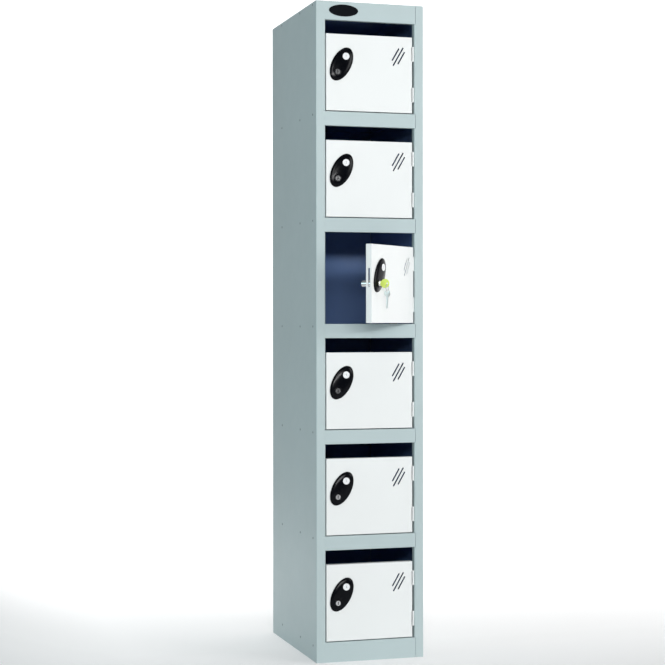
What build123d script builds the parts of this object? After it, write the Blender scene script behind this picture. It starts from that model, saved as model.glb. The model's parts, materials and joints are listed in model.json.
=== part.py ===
from build123d import *
from math import sin, cos, radians
import os

os.makedirs("parts", exist_ok=True)

# ---------------------------------------------------------------- dimensions
W, D, H = 305.0, 460.0, 1780.0      # over the sheet metal, width, depth, height
T = 1.0                             # carcass sheet
TD = 1.2                            # door sheet
TIERS = 6
PITCH = 286.0                       # tier spacing
RAIL = 38.2                         # height of a shelf's front rail
HEADER = 50.0                       # height of the blank header
PLINTH = 54.0                       # height of the base's front
STILE = 26.0                        # width of a front stile, bend included
STILE_FLAT = 22.0                   # its flat part
STILE_R = 4.0                       # its inner bend
RETURN = 19.0                       # depth of its return flange
REAR = 16.0                         # width of the rear flanges
GAP = 0.1                           # assembly gap between sheets

DOOR_L, DOOR_R = -124.4, 120.5      # door edges, as closed
DOOR_LOW, DOOR_HIGH = 2.4, 209.0    # door's lower and upper edge above its shelf
DOOR_DEEP = 17.0                    # depth of the door's pan
LIP = 12.0                          # width of the lips at its back
REST = {1: 0.0, 2: 0.0, 3: 44.2, 4: 0.0, 5: 0.0, 6: 0.0}   # door angle as shown

HX, HY = 123.7, -D / 2 + 2.8        # hinge axis
KNUCKLE_R, PIN_R = 2.6, 1.0
HINGE_LEN = 39.5
HINGE_Z = (52.5, 163.5)             # hinge centres above a door's shelf
RUN = 0.05                          # running clearance on the pins

TILT = 28.0                         # lean of the escutcheon's long axis
ESC_A, ESC_B, ESC_H = 49.0, 27.0, 6.0
LOCK_X, LOCK_Z = -93.6, 105.8       # lock centre: across, and above the shelf
DISC_X, DISC_Z = -70.2, 148.6       # number disc centre
ESC_X, ESC_Z = -81.4, 127.8          # escutcheon centre
DISC_R = 9.8
HOUSE_R, PLUG_R, NECK_R, DRUM_R = 8.6, 6.6, 5.0, 8.5
CAM_DEEP, CAM_T, CAM_W, CAM_LEN = 7.4, 2.0, 16.0, 45.0
DRUM_END = 44.0                     # drum's rear, behind the door face

VENTS = ((225.1 - W / 2, 160.6, 40.0), (232.6 - W / 2, 154.8, 58.5), (241.4 - W / 2, 151.4, 40.0))
VENT_W, VENT_TILT = 4.0, 30.0

KEY_OUT = 29.5                      # key hole for the ring, in front of the door face
RING_R, WIRE_R = 8.5, 0.8

shelf_z = [PLINTH + PITCH * i for i in range(TIERS)]          # 54 ... 1484
zb = {k: shelf_z[TIERS - k] for k in range(1, TIERS + 1)}     # tier 1 is the top one


def face(k, deep=0.0):
    """Plane parallel to door k's front, deep mm behind it; x across, y up, z outwards."""
    a = radians(REST[k])
    px, py = -HX, (-D / 2 + deep) - HY
    o = (px * cos(a) - py * sin(a) + HX, px * sin(a) + py * cos(a) + HY, 0)
    return Plane(origin=o, x_dir=(cos(a), sin(a), 0), z_dir=(sin(a), -cos(a), 0))


def level(k, z):
    """Horizontal plane through door k's hinge axis, turned with the door."""
    a = radians(REST[k])
    return Plane(origin=(HX, HY, z), x_dir=(cos(a), sin(a), 0), z_dir=(0, 0, 1))


def across(k, x):
    """Plane square to the door's width; x runs outwards from the face, y up."""
    a = radians(REST[k])
    px, py = x - HX, -D / 2 - HY
    o = (px * cos(a) - py * sin(a) + HX, px * sin(a) + py * cos(a) + HY, 0)
    return Plane(origin=o, x_dir=(sin(a), -cos(a), 0), z_dir=(-cos(a), -sin(a), 0))


def rect(x0, y0, x1, y1, mode=Mode.ADD):
    with Locations(((x0 + x1) / 2, (y0 + y1) / 2)):
        Rectangle(x1 - x0, y1 - y0, mode=mode)


def corner(sketch, x, y):
    return sketch.vertices().sort_by_distance((x, y, 0))[0]


def save(builder, name):
    builder.part.label = name
    export_step(builder.part, f"parts/{name}.step")


FRONT = Plane(origin=(0, -D / 2, 0), x_dir=(1, 0, 0), z_dir=(0, -1, 0))
xo, xi = W / 2, W / 2 - T                     # outer and inner face of a side wall
xr = W / 2 - STILE                            # opening's half width
yf, yr = -D / 2, D / 2
tops = [H - HEADER - PITCH * i for i in range(TIERS)]         # rail undersides

# ------------------------------------------------------------- side panels
# wall, stile, return flange and rear flange are one folded sheet
for name, s in (("left_side_panel", -1), ("right_side_panel", 1)):
    with BuildPart() as side_panel:
        with BuildSketch() as fold:
            for x0, y0, x1, y1 in ((xi, yf, xo, yr), (xr, yf, xo, yf + T),
                                   (xr, yf, xr + T, yf + RETURN), (xo - REAR, yr - T, xo, yr)):
                rect(min(s * x0, s * x1), y0, max(s * x0, s * x1), y1)
            fillet(corner(fold, s * xo, yf), 2.0)
            fillet(corner(fold, s * xi, yf + T), 1.0)
            fillet(corner(fold, s * xr, yf), STILE_R)
            fillet(corner(fold, s * (xr + T), yf + T), STILE_R - T)
            fillet(corner(fold, s * xo, yr), 2.0)
            fillet(corner(fold, s * xi, yr - T), 1.0)
        extrude(amount=H)
        # relief in the stile's bend where the header, rails and plinth butt against it
        with BuildSketch(FRONT.offset(1)):
            for z0, z1 in [(H - HEADER - 0.2, H + 1), (-1, PLINTH + 0.2)] + [(z - RAIL - 0.2, z + 0.2) for z in shelf_z[1:]]:
                rect(min(s * (xr - 1), s * (xo - STILE_FLAT + 0.1)), z0, max(s * (xr - 1), s * (xo - STILE_FLAT + 0.1)), z1)
        extrude(amount=-(1 + T + GAP), mode=Mode.SUBTRACT)
        # the return flange stops under the top panel and above the base's bottom sheet
        with BuildSketch(Plane.XY.offset(H - T - GAP)):
            rect(min(s * (xr - 1), s * (xr + T + 4)), yf + T + 0.05, max(s * (xr - 1), s * (xr + T + 4)), yf + RETURN + 1)
        extrude(amount=5, mode=Mode.SUBTRACT)
        with BuildSketch(Plane.XY.offset(T + GAP)):
            rect(min(s * (xr - 1), s * (xr + T + 4)), yf + T + 0.05, max(s * (xr - 1), s * (xr + T + 4)), yf + RETURN + 1)
        extrude(amount=-5, mode=Mode.SUBTRACT)
        if s < 0:
            # cam slots in the return flange
            with BuildSketch(FRONT.offset(-(CAM_DEEP - 2.2))):
                for k in zb:
                    rect(-xr - T - 1, zb[k] + LOCK_Z - 11, -xr + 1, zb[k] + LOCK_Z + 42)
            extrude(amount=-6.4, mode=Mode.SUBTRACT)
    save(side_panel, name)

# --------------------------------------------------------------- back panel
with BuildPart() as back_panel:
    with BuildSketch(Plane.XZ.offset(-(yr - T - GAP))):          # plane's normal is -Y
        rect(-xi + 1.2, T + GAP, xi - 1.2, H - T - GAP)
    extrude(amount=T)
    # two keyless round holes for screws into a wall
    with BuildSketch(Plane.XZ.offset(-(yr + 1))):
        with Locations((-100, 1690), (100, 1690)):
            Circle(3.5)
    extrude(amount=5, mode=Mode.SUBTRACT)
save(back_panel, "back_panel")
y_in = yr - 2 * T - 2 * GAP                                    # inner face of the back panel, with its gap


# ---------------------------------------------- top panel, shelves and base
def sheet(z, low, side_low):
    """A horizontal sheet whose top is at z, with its front face down to low
    and side and rear flanges down to side_low."""
    with BuildSketch(Plane.XY.offset(z - T)) as flat:
        rect(-xr + GAP, yf, xr - GAP, yf + RETURN + 0.4)
        rect(-xi + GAP, yf + RETURN + 0.2, xi - GAP, y_in)
    extrude(flat.sketch, amount=T)
    with BuildSketch(FRONT) as front:
        rect(-(xo - STILE_FLAT), low, xo - STILE_FLAT - 0.8, z)
    extrude(front.sketch, amount=-T)
    with BuildSketch(Plane.XY.offset(side_low)) as flanges:
        rect(-xi + GAP, yf + 25, -xi + GAP + T, y_in)
        rect(xi - GAP - T, yf + 25, xi - GAP, y_in)
        rect(-xi + GAP, y_in - T, xi - GAP, y_in)
    extrude(flanges.sketch, amount=z - side_low)


def front_edges(builder, zs):
    return [e for e in builder.edges().filter_by(Axis.X)
            if abs(e.center().Y - yf) < 1e-3 and min(abs(e.center().Z - z) for z in zs) < 1e-3 and e.length > 200]


with BuildPart() as top_panel:
    sheet(H, H - HEADER, H - 15)
    with BuildSketch(Plane.XY.offset(H - T)):
        rect(-xi + 1.2, yf + T + GAP, xi - 1.2, yf + RETURN + 0.4)
    extrude(amount=T)
    with BuildSketch(Plane.XY.offset(H - HEADER)):
        rect(-xr + GAP, yf, xr - GAP, yf + 14)
    extrude(amount=T)
    fillet(front_edges(top_panel, [H, H - HEADER]), 0.9)
save(top_panel, "top_panel")

for i in range(1, TIERS):
    z = shelf_z[TIERS - i]
    with BuildPart() as shelf:
        sheet(z, z - RAIL, z - 15)
        with BuildSketch(Plane.XY.offset(z - RAIL)):
            rect(-xr + GAP, yf, xr - GAP, yf + 14)
        extrude(amount=T)
        fillet(front_edges(shelf, [z, z - RAIL]), 0.9)
    save(shelf, f"shelf_{i}")

with BuildPart() as base_panel:
    sheet(PLINTH, 0, PLINTH - 25)
    with BuildSketch(Plane.XY):
        rect(-xr + GAP, yf, xr - GAP, yf + RETURN + 0.4)
        rect(-xi + GAP, yf + RETURN + 0.2, xi - GAP, y_in)
        # the sheet's front strip runs under the stiles' return flanges
        rect(-xi + 1.2, yf + T + GAP, xi - 1.2, yf + RETURN + 0.4)
    extrude(amount=T)
    with BuildSketch(Plane.XY):
        rect(-xi + GAP, y_in - T, xi - GAP, y_in)
    extrude(amount=PLINTH)
    fillet(front_edges(base_panel, [PLINTH]), 0.9)
save(base_panel, "base_panel")

# -------------------------------------------------- rivets and header emblem
rivet_z = [H - 7] + [z - 7 for z in shelf_z[1:]] + [PLINTH - 12]
rivet_at = [(yf + d, z) for d in (33, 160, 352) for z in rivet_z]
with BuildPart() as body_rivets:
    for s in (-1, 1):
        with BuildSketch(Plane.YZ.offset(s * (xi - GAP - T - 0.4))):
            with Locations(*rivet_at):
                Circle(1.9)
        extrude(amount=s * (T * 2 + GAP + 0.4))
        with BuildSketch(Plane.YZ.offset(s * xo)):
            with Locations(*rivet_at):
                Circle(3.0)
        extrude(amount=s * 0.6)
save(body_rivets, "body_rivets")

with BuildPart() as emblem_plate:
    with BuildSketch(FRONT):
        with Locations((77.2 - W / 2, 1756)):
            Ellipse(41, 16)
    extrude(amount=1.0)
    fillet(emblem_plate.faces().sort_by(Axis.Y)[0].edges(), 0.5)
save(emblem_plate, "emblem_plate")

# ------------------------------------------------------------------- hinges
mid, end = HINGE_LEN / 6 - 0.1, HINGE_LEN / 2
with BuildPart() as hinge_frame_leaves:
    for k in zb:
        for h in HINGE_Z:
            c = zb[k] + h
            with BuildSketch(Plane.XY.offset(c - mid)):
                with Locations((HX, HY)):
                    Circle(KNUCKLE_R)
                rect(HX + 1.7, HY, xr - 0.05, HY + 4)
                with Locations((HX, HY)):
                    Circle(PIN_R + 0.01, mode=Mode.SUBTRACT)
            extrude(amount=2 * mid)
            with BuildSketch(Plane.XY.offset(c - end)):
                rect(HX + 1.7, HY + 3.2, xr - 0.05, HY + 13)
            extrude(amount=2 * end)
save(hinge_frame_leaves, "hinge_frame_leaves")

with BuildPart() as hinge_pins:
    for k in zb:
        for h in HINGE_Z:
            with BuildSketch(Plane.XY.offset(zb[k] + h - end - 0.6)):
                with Locations((HX, HY)):
                    Circle(PIN_R)
            extrude(amount=2 * end + 1.2)
save(hinge_pins, "hinge_pins")

# rubber blocks on the shelves, which the closed doors' lower flanges rest against
with BuildPart() as door_buffers:
    for k in zb:
        with BuildSketch(Plane.XY.offset(zb[k] + 0.02)):
            with Locations((72, yf + DOOR_DEEP + 4.1)):
                RectangleRounded(24, 8, 2.5)
        extrude(amount=9)
save(door_buffers, "door_buffers")

# -------------------------------------------------------------------- doors
for k in zb:
    z0 = zb[k]
    out = face(k).z_dir
    outward = Axis((0, 0, 0), (out.X, out.Y, out.Z))
    lx, lz = LOCK_X, z0 + LOCK_Z

    with BuildPart() as door_panel:
        with BuildSketch(face(k)):
            rect(DOOR_L, z0 + DOOR_LOW, DOOR_R, z0 + DOOR_HIGH)
        extrude(amount=-DOOR_DEEP)
        fillet(door_panel.faces().sort_by(outward)[-1].edges(), 1.6)
        with BuildSketch(face(k, TD)):
            rect(DOOR_L + TD, z0 + DOOR_LOW + TD, DOOR_R - TD, z0 + DOOR_HIGH - TD)
        extrude(amount=-(DOOR_DEEP - 2 * TD), mode=Mode.SUBTRACT)
        with BuildSketch(face(k, DOOR_DEEP - TD - 0.1)):
            rect(DOOR_L + LIP, z0 + DOOR_LOW + TD, DOOR_R - LIP, z0 + DOOR_HIGH - TD)
        extrude(amount=-(TD + 1), mode=Mode.SUBTRACT)
        # lock hole and the three slanted vents
        with BuildSketch(face(k, -1)):
            with Locations((lx, lz)):
                Circle(HOUSE_R + 0.1)
            for vx, vz, length in VENTS:
                with Locations((vx, z0 + vz)):
                    SlotOverall(length, VENT_W, rotation=90 - VENT_TILT)
        extrude(amount=-(TD + 2), mode=Mode.SUBTRACT)
        # openings in the hinge side's bend, beside the knuckles
        with BuildSketch(face(k, -1)):
            for h in HINGE_Z:
                rect(DOOR_R - 3.2, z0 + h - end + 1, DOOR_R + 1, z0 + h + end - 1)
        extrude(amount=-6.6, mode=Mode.SUBTRACT)
        # slot in the free edge, where the cam comes out
        with BuildSketch(face(k, CAM_DEEP - 1.5)):
            rect(DOOR_L - 1, lz - 9, DOOR_L + TD + 0.5, lz + 40)
        extrude(amount=-5, mode=Mode.SUBTRACT)
    save(door_panel, f"door_panel_{k}")

    with BuildPart() as door_hinge_leaves:
        for h in HINGE_Z:
            c = z0 + h
            for za, zc in ((c - end, c - mid - 0.2), (c + mid + 0.2, c + end)):
                with BuildSketch(level(k, za)):
                    Circle(KNUCKLE_R)
                    rect(DOOR_R - HX + 0.02, 0, -1.9, 4)
                    Circle(PIN_R + RUN, mode=Mode.SUBTRACT)
                extrude(amount=zc - za)
            with BuildSketch(level(k, c - end)):
                rect(DOOR_R - HX + 0.02, 3.2, -1.9, 13)
            extrude(amount=2 * end)
    save(door_hinge_leaves, f"door_hinge_leaves_{k}")

    with BuildPart() as escutcheon:
        with BuildSketch(face(k)):
            with Locations((ESC_X, z0 + ESC_Z)):
                Ellipse(ESC_B, ESC_A, rotation=-TILT)
        extrude(amount=ESC_H)
        fillet(escutcheon.faces().sort_by(outward)[-1].edges(), 4.5)
        with BuildSketch(face(k, 1)):
            with Locations((lx, lz)):
                Circle(HOUSE_R + 0.1)
        extrude(amount=ESC_H + 2, mode=Mode.SUBTRACT)
        with BuildSketch(face(k, -(ESC_H - 0.8))):
            with Locations((DISC_X, z0 + DISC_Z)):
                Circle(DISC_R + 0.1)
        extrude(amount=2, mode=Mode.SUBTRACT)
    save(escutcheon, f"escutcheon_{k}")

    with BuildPart() as number_disc:
        with BuildSketch(face(k, -(ESC_H - 0.8))):
            with Locations((DISC_X, z0 + DISC_Z)):
                Circle(DISC_R)
        extrude(amount=1.4)
        fillet(number_disc.faces().sort_by(outward)[-1].edges(), 0.4)
    save(number_disc, f"number_disc_{k}")

    # lock housing, clamped through the door by its rear collar
    with BuildPart() as lock_body:
        with BuildSketch(face(k, 6.8)):
            with Locations((lx, lz)):
                Circle(HOUSE_R)
        extrude(amount=6.8 + ESC_H + 1.2)
        with BuildSketch(face(k, TD)):
            with Locations((lx, lz)):
                RegularPolygon(12.0, 6)
        extrude(amount=-3.4)
        with BuildSketch(face(k, 8)):
            with Locations((lx, lz)):
                Circle(PLUG_R + RUN)
        extrude(amount=20, mode=Mode.SUBTRACT)
    save(lock_body, f"lock_body_{k}")

    # turning plug: keyed nose, neck for the cam, drum behind it
    with BuildPart() as lock_plug:
        with BuildSketch(face(k, CAM_DEEP)):
            with Locations((lx, lz)):
                Circle(PLUG_R)
        extrude(amount=CAM_DEEP + ESC_H + 1.4)
        with BuildSketch(face(k, CAM_DEEP)):
            with Locations((lx, lz)):
                Circle(NECK_R)
        extrude(amount=-CAM_T)
        with BuildSketch(face(k, CAM_DEEP + CAM_T)):
            with Locations((lx, lz)):
                Circle(DRUM_R)
        extrude(amount=-(DRUM_END - CAM_DEEP - CAM_T))
        chamfer(lock_plug.faces().sort_by(outward)[0].edges(), 1.0)
        with BuildSketch(face(k, -(ESC_H + 2))):
            with Locations((lx, lz)):
                Rectangle(2.2, 8.6)
        extrude(amount=-13, mode=Mode.SUBTRACT)
    save(lock_plug, f"lock_plug_{k}")

    # cam: stands upright when unlocked, and turns out through the free edge
    with BuildPart() as lock_cam:
        with BuildSketch(face(k, CAM_DEEP + 0.02)):
            with Locations((lx, lz)):
                Circle(10)
            with Locations((lx, lz + (CAM_LEN - 8) / 2)):
                Rectangle(CAM_W, CAM_LEN - 8)
            with Locations((lx, lz + CAM_LEN - 8)):
                Circle(8)
            with Locations((lx, lz)):
                Circle(NECK_R + 0.02, mode=Mode.SUBTRACT)
        extrude(amount=-(CAM_T - 0.04))
    save(lock_cam, f"lock_cam_{k}")

# ------------------------------------------- key in lock 3, ring, spare key
k = 3
kx, kz = LOCK_X, zb[k] + LOCK_Z
nose = ESC_H + 1.4                               # plug's nose, in front of the face
with BuildPart() as key:
    with BuildSketch(across(k, kx)):
        rect(nose - 10, kz - 4, nose + 6, kz + 4)
    extrude(amount=0.95, both=True)
    with BuildSketch(across(k, kx)):
        with Locations((nose + 15.5, kz)):
            Circle(12)
        rect(nose + 2.5, kz - 6.5, nose + 9, kz + 6.5)
        with Locations((KEY_OUT, kz)):
            Circle(2.8, mode=Mode.SUBTRACT)
    extrude(amount=1.7, both=True)
save(key, "key")

ring_top = kz - (2.8 - WIRE_R - 0.15)
with BuildPart() as key_ring:
    with BuildSketch(across(k, kx)) as wire:
        with Locations((KEY_OUT, ring_top)):
            Circle(WIRE_R)
    c = face(k, -KEY_OUT).from_local_coords(Vector(kx, ring_top - RING_R, 0))
    revolve(axis=Axis((c.X, c.Y, c.Z), tuple(face(k).z_dir)))
save(key_ring, "key_ring")

spare_hole = ring_top - 2 * RING_R - (2.8 - WIRE_R - 0.15)
with BuildPart() as spare_key:
    with BuildSketch(across(k, kx)):
        rect(KEY_OUT - 3.4, spare_hole - 45, KEY_OUT + 3.4, spare_hole - 12)
    extrude(amount=0.95, both=True)
    with BuildSketch(across(k, kx)):
        with Locations((KEY_OUT, spare_hole - 5.6)):
            Circle(9.4)
        with Locations((KEY_OUT, spare_hole)):
            Circle(2.8, mode=Mode.SUBTRACT)
    extrude(amount=1.1, both=True)
save(spare_key, "spare_key")
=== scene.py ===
import json
import math

import bmesh
import bpy
from mathutils import Matrix, Vector


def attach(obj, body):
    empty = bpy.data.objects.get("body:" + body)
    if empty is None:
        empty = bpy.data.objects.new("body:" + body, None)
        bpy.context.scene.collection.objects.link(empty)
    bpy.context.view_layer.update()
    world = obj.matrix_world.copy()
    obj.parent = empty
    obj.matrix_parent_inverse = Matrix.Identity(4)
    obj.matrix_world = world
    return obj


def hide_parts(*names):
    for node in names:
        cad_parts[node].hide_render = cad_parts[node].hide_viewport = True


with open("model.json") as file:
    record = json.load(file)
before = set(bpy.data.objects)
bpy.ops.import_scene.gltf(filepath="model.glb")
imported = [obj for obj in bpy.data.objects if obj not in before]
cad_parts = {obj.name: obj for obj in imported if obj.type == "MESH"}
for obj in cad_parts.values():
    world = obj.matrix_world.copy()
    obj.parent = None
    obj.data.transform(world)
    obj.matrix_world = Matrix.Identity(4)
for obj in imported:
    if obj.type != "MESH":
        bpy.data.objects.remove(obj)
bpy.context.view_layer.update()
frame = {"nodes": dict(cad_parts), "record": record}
NODES = frame["nodes"]

REST3 = math.radians(44.2)
HINGE = Vector((0.1237, -0.2272, 0.0))
PITCH = 0.286
SHELF = {k: 0.054 + PITCH * (6 - k) for k in range(1, 7)}
LOCK = (-0.0936, 0.1058)
DISC = (-0.0702, 0.1486)
ESC = (-0.0814, 0.1278)


def door_frame(k):
    """Matrix from a door's own axes (x across, y outwards from the face, z up) to the world."""
    a = REST3 if k == 3 else 0.0
    turn = Matrix.Translation(HINGE) @ Matrix.Rotation(a, 4, "Z") @ Matrix.Translation(-HINGE)
    flip = Matrix(((1, 0, 0, 0), (0, -1, 0, -0.230), (0, 0, 1, 0), (0, 0, 0, 1)))
    return turn @ flip


# ------------------------------------------------------------------ materials
class Mat:
    """A small builder for node materials, all in object coordinates, in metres."""

    def __init__(self, name):
        self.m = bpy.data.materials.new(name)
        self.m.use_nodes = True
        self.t = self.m.node_tree
        self.b = self.t.nodes["Principled BSDF"]
        self.pos = self.t.nodes.new("ShaderNodeTexCoord").outputs["Object"]

    def node(self, kind, **kw):
        n = self.t.nodes.new(kind)
        for a, v in kw.items():
            if a.startswith("i_"):
                key = a[2:]
                n.inputs[int(key) if key.isdigit() else key.replace("_", " ")].default_value = v
            else:
                setattr(n, a, v)
        return n

    def link(self, a, b):
        self.t.links.new(a, b)

    def noise(self, scale, detail=3.0, rough=0.5, dist=0.0, vec=None):
        n = self.node("ShaderNodeTexNoise")
        n.inputs["Scale"].default_value = scale
        n.inputs["Detail"].default_value = detail
        n.inputs["Roughness"].default_value = rough
        n.inputs["Distortion"].default_value = dist
        self.link(vec or self.pos, n.inputs["Vector"])
        return n.outputs["Fac"]

    def mapping(self, scale):
        n = self.node("ShaderNodeMapping")
        n.inputs["Scale"].default_value = scale
        self.link(self.pos, n.inputs["Vector"])
        return n.outputs["Vector"]

    def ramp(self, fac, stops):
        n = self.node("ShaderNodeValToRGB")
        el = n.color_ramp.elements
        while len(el) < len(stops):
            el.new(0.5)
        for e, (p, c) in zip(el, stops):
            e.position = p
            e.color = (*c, 1) if len(c) == 3 else c
        self.link(fac, n.inputs["Fac"])
        return n.outputs["Color"]

    def mix(self, fac, a, b, blend="MIX"):
        n = self.node("ShaderNodeMix", data_type="RGBA", blend_type=blend)
        for sock, v in ((n.inputs[0], fac), (n.inputs[6], a), (n.inputs[7], b)):
            if isinstance(v, (int, float)):
                sock.default_value = v
            elif isinstance(v, tuple):
                sock.default_value = (*v, 1)
            else:
                self.link(v, sock)
        return n.outputs[2]

    def math(self, op, a, b=0.0, clamp=False):
        n = self.node("ShaderNodeMath", operation=op, use_clamp=clamp)
        for sock, v in ((n.inputs[0], a), (n.inputs[1], b)):
            if isinstance(v, (int, float)):
                sock.default_value = v
            else:
                self.link(v, sock)
        return n.outputs[0]

    def range(self, v, a, b, c, d):
        n = self.node("ShaderNodeMapRange")
        self.link(v, n.inputs["Value"])
        for key, x in (("From Min", a), ("From Max", b), ("To Min", c), ("To Max", d)):
            n.inputs[key].default_value = x
        return n.outputs["Result"]

    def bump(self, height, strength, dist, normal=None):
        n = self.node("ShaderNodeBump")
        n.inputs["Strength"].default_value = strength
        n.inputs["Distance"].default_value = dist
        self.link(height, n.inputs["Height"])
        if normal is not None:
            self.link(normal, n.inputs["Normal"])
        return n.outputs["Normal"]

    def set(self, **kw):
        for a, v in kw.items():
            sock = self.b.inputs[a.replace("_", " ")]
            if isinstance(v, (int, float)):
                sock.default_value = v
            elif isinstance(v, tuple):
                sock.default_value = (*v, 1)
            else:
                self.link(v, sock)
        return self


def powder(name, color, rough=0.42, peel=0.35, tint=0.03, spec=0.45):
    """Powder coat: slight orange peel, fine grain, faint handling marks."""
    m = Mat(name)
    broad = m.noise(3.2, 3, 0.55)
    fine = m.noise(620, 2, 0.6)
    peel_n = m.noise(300, 2.5, 0.5)
    dark = tuple(c * (1 - tint) for c in color)
    lite = tuple(min(1.0, c * (1 + tint * 0.6)) for c in color)
    col = m.ramp(broad, [(0.3, dark), (0.7, lite)])
    r = m.range(m.noise(26, 4, 0.6), 0.3, 0.7, rough - 0.035, rough + 0.04)
    n1 = m.bump(peel_n, peel, 0.00004)
    n2 = m.bump(fine, peel * 0.5, 0.000015, n1)
    m.set(Base_Color=col, Roughness=r, Specular_IOR_Level=spec, Normal=n2)
    return m.m


def carcass_paint(name, color, inner, rough=0.40):
    """Powder coat outside; on every face inside the shell a darker navy colour, painted shade for the shaded
    compartments, with a glossier finish.
    """
    m = Mat(name)
    xyz = m.node("ShaderNodeSeparateXYZ")
    m.link(m.pos, xyz.inputs[0])
    ax = m.math("ABSOLUTE", xyz.outputs[0])
    # mask of every face inside the shell: these get the painted shade colour and the glossier finish
    inside = m.math("LESS_THAN", ax, 0.1519)
    for sock, limit, op in ((xyz.outputs[1], -0.2105, "GREATER_THAN"), (xyz.outputs[1], 0.2284, "LESS_THAN"),
                            (xyz.outputs[2], 1.7795, "LESS_THAN"), (xyz.outputs[2], 0.0006, "GREATER_THAN")):
        inside = m.math("MULTIPLY", inside, m.math(op, sock, limit))
    broad = m.noise(3.2, 3, 0.55)
    out = m.ramp(broad, [(0.3, tuple(c * 0.97 for c in color)), (0.7, tuple(min(1, c * 1.02) for c in color))])
    # painted shade: the darker navy colour stands in for the shade inside the compartments
    inner_shade_col = m.ramp(broad, [(0.3, tuple(c * 0.92 for c in inner)), (0.7, tuple(c * 1.06 for c in inner))])
    peel = m.bump(m.noise(300, 2.5, 0.5), 0.3, 0.00003)
    fine = m.bump(m.noise(620, 2, 0.6), 0.16, 0.00001, peel)
    r_out = m.range(m.noise(26, 4, 0.6), 0.3, 0.7, rough - 0.035, rough + 0.04)
    r_in = m.range(m.noise(26, 4, 0.6), 0.3, 0.7, 0.10, 0.16)
    r = m.math("ADD", m.math("MULTIPLY", r_in, inside), m.math("MULTIPLY", r_out, m.math("SUBTRACT", 1.0, inside)))
    m.set(Base_Color=m.mix(inside, out, inner_shade_col), Roughness=r, Specular_IOR_Level=0.45, Normal=fine)
    return m.m


def metal(name, color, rough, scale=(1, 1, 1), streak=260.0, strength=0.25, aniso=0.0):
    m = Mat(name)
    v = m.mapping(scale)
    lines = m.noise(streak, 3, 0.6, vec=v)
    spots = m.noise(60, 3, 0.6)
    dark = tuple(c * 0.86 for c in color)
    col = m.ramp(spots, [(0.25, dark), (0.7, color)])
    r = m.range(lines, 0.3, 0.7, rough - 0.05, rough + 0.08)
    m.set(Base_Color=col, Roughness=r, Normal=m.bump(lines, strength, 0.00003))
    m.b.inputs["Metallic"].default_value = 1.0
    return m.m


def plastic(name, color, rough, tint=0.05, grain=0.12, spec=0.5, coat=0.0):
    m = Mat(name)
    dark = tuple(c * (1 - tint) for c in color)
    lite = tuple(min(1.0, c * (1 + tint)) for c in color)
    col = m.ramp(m.noise(45, 3, 0.5), [(0.3, dark), (0.7, lite)])
    r = m.range(m.noise(130, 4, 0.6), 0.3, 0.7, max(0.02, rough - 0.03), rough + 0.05)
    m.set(Base_Color=col, Roughness=r, Specular_IOR_Level=spec, Normal=m.bump(m.noise(900, 2, 0.5), grain, 0.00003))
    if coat:
        m.b.inputs["Coat Weight"].default_value = coat
        m.b.inputs["Coat Roughness"].default_value = 0.06
    return m.m


MAT = {
    # the second colour is the painted shade on the faces inside the shell
    "body_paint": carcass_paint("body_paint", (0.44, 0.532, 0.542), (0.155, 0.25, 0.475)),
    # rivet heads painted darker than the panel: painted shade at each rivet
    "rivet_painted_shade": powder("rivet_painted_shade", (0.20, 0.26, 0.27), rough=0.5),
    "door_paint": powder("door_paint", (0.775, 0.80, 0.797), rough=0.36, tint=0.015),
    "lock_dark": metal("lock_dark", (0.03, 0.031, 0.034), 0.34, (1, 1, 1), 400, 0.15),
    "black_gloss": plastic("black_gloss", (0.001, 0.0015, 0.003), 0.18, spec=0.13),
    "emblem_black": plastic("emblem_black", (0.003, 0.004, 0.006), 0.3, spec=0.1),
    "disc_white": plastic("disc_white", (0.78, 0.80, 0.81), 0.3),
    "chrome": metal("chrome", (0.72, 0.73, 0.74), 0.16, (1, 1, 1), 400, 0.15),
    "steel": metal("steel", (0.55, 0.56, 0.57), 0.3, (1, 1, 6), 500, 0.3),
    "rubber": plastic("rubber", (0.014, 0.014, 0.014), 0.8, grain=0.4, spec=0.3),
    "key_plastic": plastic("key_plastic", (0.70, 0.85, 0.15), 0.38, tint=0.06),
    "print_grey": plastic("print_grey", (0.33, 0.35, 0.36), 0.5),
    "key_steel": metal("key_steel", (0.86, 0.85, 0.83), 0.38, (1, 1, 1), 700, 0.3),
}
SLOT_OF = {s["node"]: s["material_slot"] for s in frame["record"]["subparts"]}
OWN = {"body_rivets": "rivet_painted_shade", "spare_key": "key_steel", "emblem_plate": "emblem_black"}
OWN.update({f"lock_body_{k}": "lock_dark" for k in SHELF})
for name, ob in NODES.items():
    mat = MAT[OWN.get(name, SLOT_OF[name])]
    if len(ob.material_slots) == 0:
        ob.data.materials.append(mat)
    for s in ob.material_slots:
        s.material = mat


# ------------------------------------------------------------ detailed pieces
def add(name, bm, mat, k=None, smooth=None):
    """Turns door k's own coordinates (x, outwards, z, in mm) into a placed object."""
    bmesh.ops.recalc_face_normals(bm, faces=bm.faces)
    me = bpy.data.meshes.new(name)
    bm.to_mesh(me)
    bm.free()
    me.transform(Matrix.Diagonal((0.001, 0.001, 0.001, 1)))
    if k is not None:
        me.transform(door_frame(k))
        me.flip_normals()
    ob = bpy.data.objects.new(name, me)
    bpy.context.collection.objects.link(ob)
    me.materials.append(MAT[mat])
    if smooth is not None:
        for p in me.polygons:
            p.use_smooth = True
        me.set_sharp_from_angle(angle=math.radians(smooth))
    return ob


def rings(bm, rows, close_top=True):
    """Skins a list of point rings; the last row may be a single point."""
    vs = [[bm.verts.new(p) for p in row] for row in rows]
    for a, b in zip(vs, vs[1:]):
        n = len(a)
        if len(b) == 1:
            for i in range(n):
                bm.faces.new((a[i], a[(i + 1) % n], b[0]))
        else:
            for i in range(n):
                bm.faces.new((a[i], a[(i + 1) % n], b[(i + 1) % n], b[i]))
    return vs


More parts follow.
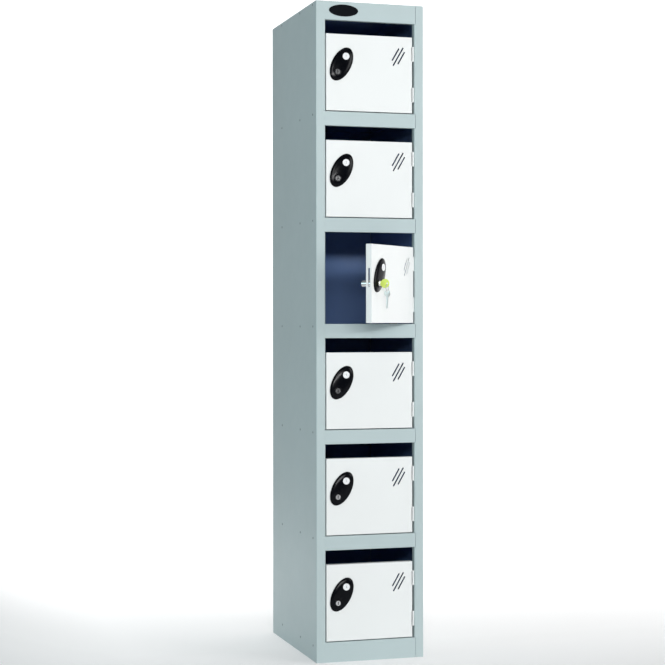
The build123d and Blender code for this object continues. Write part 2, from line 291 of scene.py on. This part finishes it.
def lathe(bm, cx, cz, prof, n=72):
    """Closed turned solid about an axis square to the door; prof is (radius, out)."""
    rows = []
    for r, y in prof:
        rows.append([(cx + r * math.cos(2 * math.pi * i / n), y, cz + r * math.sin(2 * math.pi * i / n)) for i in range(n)])
    vs = rings(bm, rows)
    bm.faces.new(vs[0])
    bm.faces.new(vs[-1])


def escutcheon(k):
    bm = bmesh.new()
    cx, cz = ESC[0] * 1000, (SHELF[k] + ESC[1]) * 1000
    t = math.radians(28.0)
    ux, uz = math.sin(t), math.cos(t)
    n = 128
    # ellipse rings: (share of the outline, height), with a fine bead round the edge
    prof = [(1.0, 0.0), (1.0, 1.3), (0.992, 1.9), (0.975, 2.25), (0.955, 2.25), (0.942, 1.95), (0.93, 1.95), (0.915, 2.3),
            (0.88, 3.0), (0.83, 3.65), (0.76, 4.3), (0.67, 4.85), (0.56, 5.3), (0.44, 5.62), (0.32, 5.82), (0.2, 5.93), (0.09, 5.98)]
    rows = []
    for f, h in prof:
        row = []
        for i in range(n):
            a = 2 * math.pi * i / n
            # inner rings shrink by a set distance at the rim, so that the bead keeps its width
            A, B = 49.0 - (1 - f) * 27.0 - max(0.0, 0.9 - f) * 24.4, 27.0 * f
            p, q = A * math.cos(a), B * math.sin(a)
            row.append((cx + p * ux + q * uz, h, cz + p * uz - q * ux))
        rows.append(row)
    rows.append([(cx, 6.0, cz)])
    vs = rings(bm, rows)
    bm.faces.new(vs[0])
    # raised collars for the disc and the lock
    lathe(bm, DISC[0] * 1000, (SHELF[k] + DISC[1]) * 1000, [(12.6, 1.0), (12.4, 5.2), (11.9, 6.0), (11.2, 6.5), (10.0, 6.6), (9.55, 6.4), (9.5, 5.3), (9.5, 1.0)])
    lathe(bm, LOCK[0] * 1000, (SHELF[k] + LOCK[1]) * 1000, [(11.2, 1.0), (11.0, 5.5), (10.5, 6.2), (9.8, 6.5), (9.0, 6.5), (8.72, 6.2), (8.7, 1.0)])
    ob = add(f"escutcheon_shell_{k}", bm, "black_gloss", k, 34)
    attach(ob, f"door_{k}")
    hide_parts(f"escutcheon_{k}")
    return ob


def digit(k):
    cu = bpy.data.curves.new(f"number_{k}", "FONT")
    cu.body = str(k)
    cu.size = 9.0
    cu.align_x, cu.align_y = "CENTER", "CENTER"
    cu.extrude = 0.03
    tmp = bpy.data.objects.new(f"tmp_{k}", cu)
    bpy.context.collection.objects.link(tmp)
    bpy.context.view_layer.update()
    me = bpy.data.meshes.new_from_object(tmp)
    bpy.data.objects.remove(tmp)
    bpy.data.curves.remove(cu)
    cx, cz = DISC[0] * 1000, (SHELF[k] + DISC[1]) * 1000
    # text lies in x, y: y becomes height, z becomes outwards
    me.transform(Matrix(((1, 0, 0, cx), (0, 0, 1, 6.63), (0, 1, 0, cz), (0, 0, 0, 1))))
    me.transform(Matrix.Diagonal((0.001, 0.001, 0.001, 1)))
    me.transform(door_frame(k))
    me.name = f"number_{k}"
    ob = bpy.data.objects.new(f"number_{k}", me)
    bpy.context.collection.objects.link(ob)
    me.materials.clear()
    me.materials.append(MAT["print_grey"])
    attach(ob, f"door_{k}")


for k in SHELF:
    escutcheon(k)
    digit(k)


def disc_prof(r, y0, y1, f):
    out = [(r, y0), (r, y1 - f)]
    for i in range(1, 5):
        a = math.radians(90 * i / 4)
        out.append((r - f + f * math.cos(a), y1 - f + f * math.sin(a)))
    return out


for k in SHELF:
    bm = bmesh.new()
    cx, cz = DISC[0] * 1000, (SHELF[k] + DISC[1]) * 1000
    # a shallow turned groove runs round the disc
    lathe(bm, cx, cz, disc_prof(9.45, 5.2, 6.6, 0.4) + [(8.0, 6.6), (7.9, 6.45), (7.6, 6.45), (7.5, 6.6)])
    ob = add(f"disc_{k}", bm, "disc_white", k, 30)
    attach(ob, f"door_{k}")
    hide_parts(f"number_disc_{k}")


def flat_curve(name, outlines, half, bevel, mat, k, x_mid, body, res=3):
    """A flat stamping or moulding in door k's (outwards, z) plane, from closed outlines in mm."""
    cu = bpy.data.curves.new(name, "CURVE")
    cu.dimensions = "2D"
    cu.fill_mode = "BOTH"
    cu.extrude = half - bevel
    cu.bevel_depth = bevel
    cu.bevel_resolution = res
    cu.offset = -bevel
    for pts in outlines:
        sp = cu.splines.new("POLY")
        sp.points.add(len(pts) - 1)
        for q, (a, b) in zip(sp.points, pts):
            q.co = (a, b, 0, 1)
        sp.use_cyclic_u = True
    tmp = bpy.data.objects.new("tmp_" + name, cu)
    bpy.context.collection.objects.link(tmp)
    bpy.context.view_layer.update()
    me = bpy.data.meshes.new_from_object(tmp)
    bpy.data.objects.remove(tmp)
    bpy.data.curves.remove(cu)
    me.transform(Matrix(((0, 0, 1, x_mid), (1, 0, 0, 0), (0, 1, 0, 0), (0, 0, 0, 1))))
    me.transform(Matrix.Diagonal((0.001, 0.001, 0.001, 1)))
    me.transform(door_frame(k))
    me.name = name
    b = bmesh.new()
    b.from_mesh(me)
    bmesh.ops.remove_doubles(b, verts=b.verts, dist=2e-6)
    bmesh.ops.recalc_face_normals(b, faces=b.faces)
    b.to_mesh(me)
    b.free()
    ob = bpy.data.objects.new(name, me)
    bpy.context.collection.objects.link(ob)
    me.materials.clear()
    me.materials.append(MAT[mat])
    for p in me.polygons:
        p.use_smooth = True
    me.set_sharp_from_angle(angle=math.radians(38))
    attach(ob, body)
    return ob


def circle(cx, cy, r, n=40, a0=0.0, a1=360.0, back=False):
    m = n if a1 - a0 >= 360 else n + 1
    pts = [(cx + r * math.cos(math.radians(a0 + (a1 - a0) * i / n)), cy + r * math.sin(math.radians(a0 + (a1 - a0) * i / n))) for i in range(m)]
    return pts[::-1] if back else pts


KX = LOCK[0] * 1000
KZ = (SHELF[3] + LOCK[1]) * 1000
NOSE = 7.4
# key in the lock: moulded head with a soft shoulder, and a cut blade
hc = NOSE + 15.5
head = [(a, b) for a, b in circle(hc, KZ, 12.0, 56, -148, 148)]
head += [(NOSE + 3.2, KZ + 6.4), (NOSE + 2.5, KZ + 5.6), (NOSE + 2.5, KZ - 5.6), (NOSE + 3.2, KZ - 6.4)]
k_head = flat_curve("key_head", [head, circle(29.5, KZ, 2.8, 28, back=True)], 1.7, 0.55, "key_plastic", 3, KX, "lock_3")
grip = circle(hc - 3.0, KZ, 5.2, 40)
k_grip = flat_curve("key_grip", [grip, circle(hc - 3.0, KZ, 4.3, 40, back=True)], 1.95, 0.2, "key_plastic", 3, KX, "lock_3")
blade = [(NOSE - 9.5, KZ - 2.2), (NOSE - 8.0, KZ - 3.9), (NOSE + 3.0, KZ - 3.9), (NOSE + 3.0, KZ + 3.9), (NOSE - 1.0, KZ + 3.9), (NOSE - 2.2, KZ + 2.4),
         (NOSE - 3.6, KZ + 3.2), (NOSE - 5.0, KZ + 1.9), (NOSE - 6.6, KZ + 3.0), (NOSE - 8.2, KZ + 1.8), (NOSE - 9.5, KZ + 0.6)]
k_blade = flat_curve("key_blade", [blade], 0.95, 0.12, "key_steel", 3, KX, "lock_3", 1)
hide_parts("key")
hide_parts("key")

# spare key: plain stamped steel
ring_top = KZ - (2.8 - 0.8 - 0.15)
hole = ring_top - 17.0 - (2.8 - 0.8 - 0.15)
hc = hole - 5.6
s_head = circle(29.5, hc, 9.4, 52, -68, 248)
blade = [(26.1, hole - 16.0), (26.1, hole - 43.6), (27.6, hole - 45.0), (30.6, hole - 43.6), (31.6, hole - 41.5), (30.9, hole - 39.5), (32.6, hole - 37.5),
         (31.2, hole - 35.0), (32.7, hole - 32.5), (31.5, hole - 30.0), (32.9, hole - 27.0), (32.9, hole - 16.0)]
spare = flat_curve("spare_key_stamping", [s_head + blade, circle(29.5, hole, 2.8, 28, back=True)], 1.05, 0.18, "key_steel", 3, KX, "spare_key", 1)
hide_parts("spare_key")

# ------------------------------------------------------------------ stage
def backdrop(name, color, glow):
    """Matt white floor with painted light: its emission glows more further behind the object, so it turns into a
    glowing white backdrop, and glows less towards the left, leaving that side of the floor shaded.
    """
    m = Mat(name)
    xyz = m.node("ShaderNodeSeparateXYZ")
    m.link(m.pos, xyz.inputs[0])
    col = m.ramp(m.noise(2.0, 2, 0.5), [(0.3, tuple(c * 0.995 for c in color)), (0.7, color)])
    # painted light: the emission rises from front to back and drops to 0.12 of its strength towards the left, where the
    # floor stays in painted shade
    m.set(Base_Color=col, Roughness=0.9, Emission_Color=(1.0, 1.0, 1.0), Specular_IOR_Level=0.2,
          Emission_Strength=m.math("MULTIPLY", m.range(xyz.outputs[1], -0.7, 1.5, 0.0, glow), m.range(xyz.outputs[0], -1.3, -0.6, 0.12, 1.0)))
    return m.m


me = bpy.data.meshes.new("floor")
bm = bmesh.new()
R = 14.0
prof = [(-R, 0.0), (5.0, 0.0)]
for i in range(1, 13):
    a = math.radians(90 * i / 12)
    prof.append((5.0 + 2.0 * math.sin(a), 2.0 - 2.0 * math.cos(a)))
prof.append((7.0, 12.0))
cols = [[bm.verts.new((x, y, z)) for (y, z) in prof] for x in (-R, R)]
for i in range(len(prof) - 1):
    bm.faces.new((cols[0][i], cols[1][i], cols[1][i + 1], cols[0][i + 1]))
bmesh.ops.recalc_face_normals(bm, faces=bm.faces)
bm.to_mesh(me)
floor = bpy.data.objects.new("floor", me)
bpy.context.collection.objects.link(floor)
for p in me.polygons:
    p.use_smooth = True
me.materials.append(backdrop("floor_white", (0.70, 0.70, 0.70), 0.9))


def area(name, loc, target, size, power, color=(1, 1, 1), size_y=None):
    d = bpy.data.lights.new(name, "AREA")
    d.energy, d.color, d.size = power, color, size
    if size_y:
        d.shape, d.size_y = "RECTANGLE", size_y
    o = bpy.data.objects.new(name, d)
    bpy.context.collection.objects.link(o)
    o.location = loc
    o.rotation_euler = (Vector(target) - Vector(loc)).to_track_quat("-Z", "Y").to_euler()
    return o


area("key_light", (2.9, -3.0, 2.0), (0, 0, 0.95), 1.6, 47)
area("front_strip", (-0.6, -4.4, 1.63), (0, 0, 1.0), 2.2, 76, size_y=0.26)
area("high_light", (-1.3, -4.4, 2.6), (0, 0, 1.0), 0.8, 24)
area("top_light", (0.2, -0.8, 4.6), (0, -0.1, 0.9), 3.0, 50)
area("side_fill", (-3.4, -0.9, 1.7), (0, 0, 1.1), 2.0, 29, color=(0.68, 0.94, 1.0))
area("soft_right", (3.1, -1.8, 1.3), (0, 0, 1.0), 0.8, 14, size_y=2.2)
area("rim_light", (3.2, 0.9, 1.3), (0, -0.2, 1.05), 2.4, 20)

world = bpy.data.worlds.new("studio")
bpy.context.scene.world = world
world.use_nodes = True
bg = world.node_tree.nodes["Background"]
bg.inputs["Color"].default_value = (0.96, 0.98, 1.0, 1)
bg.inputs["Strength"].default_value = 0.10

# ------------------------------------------------------------------ camera
F_PX, YAW, PITCHC, ROLL = 1634.8, math.radians(16.814), math.radians(0.375), math.radians(-0.047)
EYE = Vector((-1.3797, -4.4413, 0.9178))
cy, sy = math.cos(YAW), math.sin(YAW)
cp, sp = math.cos(PITCHC), math.sin(PITCHC)
cr, sr = math.cos(ROLL), math.sin(ROLL)
R0 = Matrix(((1, 0, 0), (0, 0, -1), (0, 1, 0)))
Ry = Matrix(((cy, 0, -sy), (0, 1, 0), (sy, 0, cy)))
Rx = Matrix(((1, 0, 0), (0, cp, -sp), (0, sp, cp)))
Rz = Matrix(((cr, -sr, 0), (sr, cr, 0), (0, 0, 1)))
RR = Rz @ Rx @ Ry @ R0
right, up, back = Vector(RR[0]), -Vector(RR[1]), -Vector(RR[2])
cam = bpy.data.cameras.new("camera")
cam.sensor_width = 36.0
cam.lens = F_PX / 665.0 * 36.0
cam.clip_start, cam.clip_end = 0.1, 60.0
cam_ob = bpy.data.objects.new("camera", cam)
bpy.context.collection.objects.link(cam_ob)
cam_ob.matrix_world = Matrix(((right.x, up.x, back.x, EYE.x), (right.y, up.y, back.y, EYE.y), (right.z, up.z, back.z, EYE.z), (0, 0, 0, 1)))
bpy.context.scene.camera = cam_ob

scene = bpy.context.scene
scene.view_settings.view_transform = "Standard"
